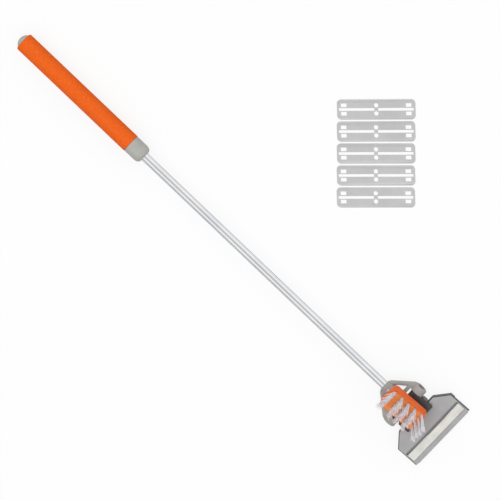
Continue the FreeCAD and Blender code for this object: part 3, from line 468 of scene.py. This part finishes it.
def makeCollar(c):  # straight ring with a domed nose that comes down on the tube
    nose = arcOfProfile(c["front"] - c["nose"], c["tip"], c["nose"], c["radius"] - c["tip"],
                        90, c["noseEnd"], c["noseSteps"])
    rear = arcOfProfile(c["rear"] + c["lip"], c["radius"] - c["lip"], c["lip"], c["lip"],
                        180, 90, c["lipSteps"])
    inner = [(c["front"], c["tip"] - c["chamfer"]), (c["front"] - c["chamfer"], c["bore"]),
             (c["socket"], c["bore"]), (c["socket"], c["socketRadius"]), (c["rear"], c["socketRadius"])]
    middle = [(c["rear"] + ring, c["radius"]) for ring in c["rings"]]
    return turnedPiece("gripCollar", inner + rear + middle + nose + [inner[0]])


dress(makeCollar(collarSettings), "grip_collar", materials["greyPlastic"])
print("collar")

# lengths in metres, bends in degrees, spiral and unevenTurn in radians; the rest are shares
tuftSettings = {"rows": 5, "filaments": 28, "radius": 0.0002, "sides": 4, "length": 0.033,
                "bends": (-5, -3, 0, 2, 4, 6), "cuts": (0.25, 0.5, 0.75),
                "rootSpread": 0.0011, "sunk": 0.003, "alongSpread": 0.0044, "acrossSpread": 0.0032,
                "columnFlare": (1.0, 1.0, 1.0, 0.9, 0.55), "spiral": 2.39996, "unevenTurn": 0.2,
                "unevenFlare": (0.85, 1.08), "unevenLength": (0.93, 1.0), "seed": 11}
tuftRows = range(1, tuftSettings["rows"] + 1)


def tuftEnds(nodeName):  # root and tip centre of each cone in a CAD row, from its two flat ends
    copyOfNode(nodeName, "cones")
    bpy.ops.object.mode_set(mode="EDIT")
    bpy.ops.mesh.select_all(action="SELECT")
    bpy.ops.mesh.separate(type="LOOSE")
    bpy.ops.object.mode_set(mode="OBJECT")
    ends = []
    for cone in list(bpy.context.selected_objects):
        faces = sorted(cone.data.polygons, key=lambda face: -len(face.vertices))[:2]
        root, tip = sorted(faces, key=lambda face: face.center.z)
        ends.append((root.center.copy(), tip.center.copy()))
        bpy.data.objects.remove(cone)
    return sorted(ends, key=lambda pair: pair[0].y)


def makeFilament(t, bend):  # one filament, root at the origin, standing along Z, bent a little
    length = t["length"]
    clearSelection()
    bpy.ops.mesh.primitive_cylinder_add(vertices=t["sides"], radius=t["radius"], depth=length,
                                        end_fill_type="NGON", location=(0, 0, length / 2))
    filament = bpy.context.object
    filament.name = "filament"
    bpy.ops.object.mode_set(mode="EDIT")
    for height in t["cuts"]:
        bpy.ops.mesh.select_all(action="SELECT")
        bpy.ops.mesh.bisect(plane_co=(0, 0, length * height), plane_no=(0, 0, 1))
    bpy.ops.object.mode_set(mode="OBJECT")
    settle(filament)
    modifier = filament.modifiers.new("lean", "SIMPLE_DEFORM")
    modifier.deform_method = "BEND"
    modifier.deform_axis = "X"
    modifier.angle = math.radians(bend)
    bpy.ops.object.modifier_apply(modifier=modifier.name)
    bpy.ops.object.shade_smooth()
    return filament


def makeTuftRow(index, t, filaments):  # every cone of a CAD row becomes a tuft that opens towards its tip
    nodeName = f"bristle_row_{index}"
    chance = random.Random(t["seed"] + index)
    strands = []
    for root, tip in tuftEnds(nodeName):
        axis = (tip - root).normalized()
        across = axis.cross(Vector((1, 0, 0))).normalized()
        along = across.cross(axis)
        length = (tip - root).length
        for count in range(t["filaments"]):
            turn = count * t["spiral"] + chance.uniform(-t["unevenTurn"], t["unevenTurn"])
            out = math.sqrt((count + 0.5) / t["filaments"])
            flare = out * chance.uniform(*t["unevenFlare"]) * t["columnFlare"][index - 1]
            lengthways, sideways = along * math.cos(turn), across * math.sin(turn)
            start = root + axis * t["sunk"] + (lengthways + sideways) * out * t["rootSpread"]
            end = root + axis * length * chance.uniform(*t["unevenLength"])
            end += lengthways * flare * t["alongSpread"]
            end += sideways * flare * t["acrossSpread"]
            bent = filaments[chance.randrange(len(filaments))]
            roll = Quaternion((0, 0, 1), chance.uniform(0, 2 * math.pi))
            strand = bpy.data.objects.new("strand", bent.data.copy())
            bpy.context.scene.collection.objects.link(strand)
            strand.location = start
            strand.rotation_euler = ((end - start).to_track_quat("Z", "Y") @ roll).to_euler()
            strand.scale = (1, 1, (end - start).length / t["length"])
            strands.append(strand)
    row = joinAll(strands)
    row.name = f"tuftRow{index}"
    settle(row)
    dress(row, nodeName, materials["bristleNylon"])


filaments = [makeFilament(tuftSettings, bend) for bend in tuftSettings["bends"]]
for index in tuftRows:
    makeTuftRow(index, tuftSettings, filaments)
for filament in filaments:
    bpy.data.objects.remove(filament)
print("tufts")

# pieces whose CAD shape is kept, merged and smoothed: piece, material and slot
dressed = {
    "handle_tube": ("handleTube", "tubeAluminium", "tube_aluminium"),
    "grip_end_cap": ("gripEndCap", "greyPlastic", "grey_plastic"),
    "yoke": ("yokeArms", "yokePlastic", "grey_plastic"),
    "yoke_rivet": ("yokeRivet", "rivetAluminium", "rivet_aluminium"),
    "pivot_bolt": ("pivotBolt", "boltSteel", "bolt_steel"),
    "pivot_nut": ("pivotNut", "boltSteel", "bolt_steel"),
    "friction_washer_left": ("washerLeft", "washerFibre", "washer_fibre"),
    "friction_washer_right": ("washerRight", "washerFibre", "washer_fibre"),
    "pivot_bush": ("pivotBush", "bushBrass", "bush_brass"),
    "hub": ("hubBody", "hubPlastic", "hub_plastic"),
    "clamp_bar": ("clampBar", "barAluminium", "bar_aluminium"),
    "blade": ("headBlade", "bladeSteel", "blade_steel"),
    "blade_keeper": ("bladeKeeper", "keeperSteel", "keeper_steel"),
    "keeper_screws": ("keeperScrews", "keeperSteel", "keeper_steel"),
    "hub_screws": ("hubScrews", "boltSteel", "bolt_steel"),
    "brush_screws": ("brushScrews", "boltSteel", "bolt_steel"),
}
spareBlades = 5
for index in range(1, spareBlades + 1):
    dressed[f"spare_blade_{index}"] = (f"spareBlade{index}", "spareSteel", "blade_steel")
for nodeName, (pieceName, materialName, slotName) in dressed.items():
    dress(copyOfNode(nodeName, pieceName), nodeName, materials[materialName])
print("copied pieces:", len(dressed))

# lengths in metres; topFacing and sideFacing are the upward share of a face's normal
holderSettings = {"bevel": 0.0013, "bevelSteps": 2, "lip": 0.003, "sideStrip": 0.0015, "rearZone": 0.017,
                  "rimHeight": 0.006, "topFacing": 0.9, "sideFacing": 0.35}


def makeHolder(h):  # the outer top edges are eased and darker like the upright sides: painted shade
    holder = copyOfNode("holder_body", "holderBody")
    dress(holder, "holder_body", materials["holderPaint"])
    # second slot: the darker paint, painted shade on the sides and the rim
    holder.data.materials.append(materials["holderPaintedShade"])
    low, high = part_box("holder_body")
    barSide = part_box("clamp_bar")[1].y
    upper, side = set(), set()
    for face in holder.data.polygons:
        if face.normal.z > h["topFacing"]:
            upper.update(face.edge_keys)
        elif abs(face.normal.z) < h["sideFacing"]:
            side.update(face.edge_keys)
            if high.x - face.center.x > h["lip"]:
                face.material_index = 1

    def onRim(edge, start, end):
        middle = (start + end) / 2
        atRear = middle.x < low.x + h["rearZone"]
        outer = abs(middle.y) > barSide + h["sideStrip"] or atRear
        raised = min(start.z, end.z) > low.z + h["rimHeight"] or middle.x > low.x + h["rearZone"]
        return edge.key in upper and edge.key in side and outer and raised

    bevelEdges(holder, onRim, offset=h["bevel"], segments=h["bevelSteps"], material=1, loop_slide=False)
    shadeCurves(holder, meshSettings["sharp"])


makeHolder(holderSettings)
print("holder")

# in mm, apart from steps and sides; topFacing, frontFacing, flatTop, upright and level are shares of a unit
# direction, and rimFrom is the share of the height above which edges belong to the top
blockSettings = {"length": 54.4, "width": 31.5, "height": 12.5, "corner": 5.0, "cornerSteps": 8,
                 "round": 1.8, "roundSteps": 5, "holeRadius": 1.6, "holeDepth": 1.4, "holeSides": 20,
                 "topFacing": 0.9, "frontFacing": 0.95, "flatTop": 0.999, "topWithin": 0.1,
                 "upright": 0.9, "level": 0.1, "rimFrom": 0.49}


def blockPlace(b):  # axes and centre of the canted block, from its CAD faces
    mesh = nodes["brush_block"].data
    tops = [face for face in mesh.polygons if face.normal.z > b["topFacing"]]
    fronts = [face for face in mesh.polygons if face.normal.x > b["frontFacing"]]
    up = max(tops, key=lambda face: face.area).normal.copy()
    side = up.cross(max(fronts, key=lambda face: face.area).normal).normalized()
    front = side.cross(up)
    centre = Vector((0, 0, 0))
    for axis in (front, side, up):
        reach = [vertex.co.dot(axis) for vertex in mesh.vertices]
        centre += axis * (min(reach) + max(reach)) / 2
    return Matrix((front, side, up)).transposed().to_4x4(), centre


def makeBlock(b):  # rounded block with a hole for every tuft
    clearSelection()
    size = [b[key] / 1000 for key in ("length", "width", "height")]
    bpy.ops.mesh.primitive_cube_add(size=1, scale=size)
    block = bpy.context.object
    block.name = "brushBlock"
    settle(block)

    def upright(edge, start, end):
        return abs((end - start).normalized().z) > b["upright"]

    def topRim(edge, start, end):
        level = abs((end - start).normalized().z) < b["level"]
        return level and (start + end).z / 2 > b["rimFrom"] * size[2]

    bevelEdges(block, upright, offset=b["corner"] / 1000, segments=b["cornerSteps"])
    bevelEdges(block, topRim, offset=b["round"] / 1000, segments=b["roundSteps"])
    turn, centre = blockPlace(b)
    block.matrix_world = Matrix.Translation(centre) @ turn
    settle(block)
    up = turn.to_3x3().col[2]
    top = centre.dot(up) + size[2] / 2
    cutters = []
    for index in tuftRows:
        for root, tip in tuftEnds(f"bristle_row_{index}"):
            axis = (tip - root).normalized()
            mouth = root + axis * ((top - root.dot(up)) / axis.dot(up))
            clearSelection()
            bpy.ops.mesh.primitive_cylinder_add(vertices=b["holeSides"], radius=b["holeRadius"] / 1000,
                                                depth=2 * b["holeDepth"] / 1000, location=mouth,
                                                rotation=axis.to_track_quat("Z", "Y").to_euler())
            cutters.append(bpy.context.object)
    cutter = joinAll(cutters)
    makeActive(block)
    modifier = block.modifiers.new("tuftHoles", "BOOLEAN")
    modifier.object = cutter
    modifier.solver = "EXACT"
    bpy.ops.object.modifier_apply(modifier=modifier.name)
    bpy.data.objects.remove(cutter)
    shadeCurves(block, meshSettings["sharp"])
    dress(block, "brush_block", materials["blockPlastic"])
    # second slot: the paler orange of the top face, painted light
    block.data.materials.append(materials["blockTopPaintedLight"])
    for face in block.data.polygons:
        flat = face.normal.dot(up) > b["flatTop"]
        onTop = flat and abs(face.center.dot(up) - top) < b["topWithin"] / 1000
        face.material_index = 1 if onTop else 0


makeBlock(blockSettings)
print("block")

# two hidden pieces keep their CAD meshes
for nodeName, materialName in (("grip_core", "corePlastic"), ("grip_pin", "pinSteel")):
    mesh = nodes[nodeName].data
    mesh.materials.clear()
    mesh.materials.append(materials[materialName])
print("grip core and pin")
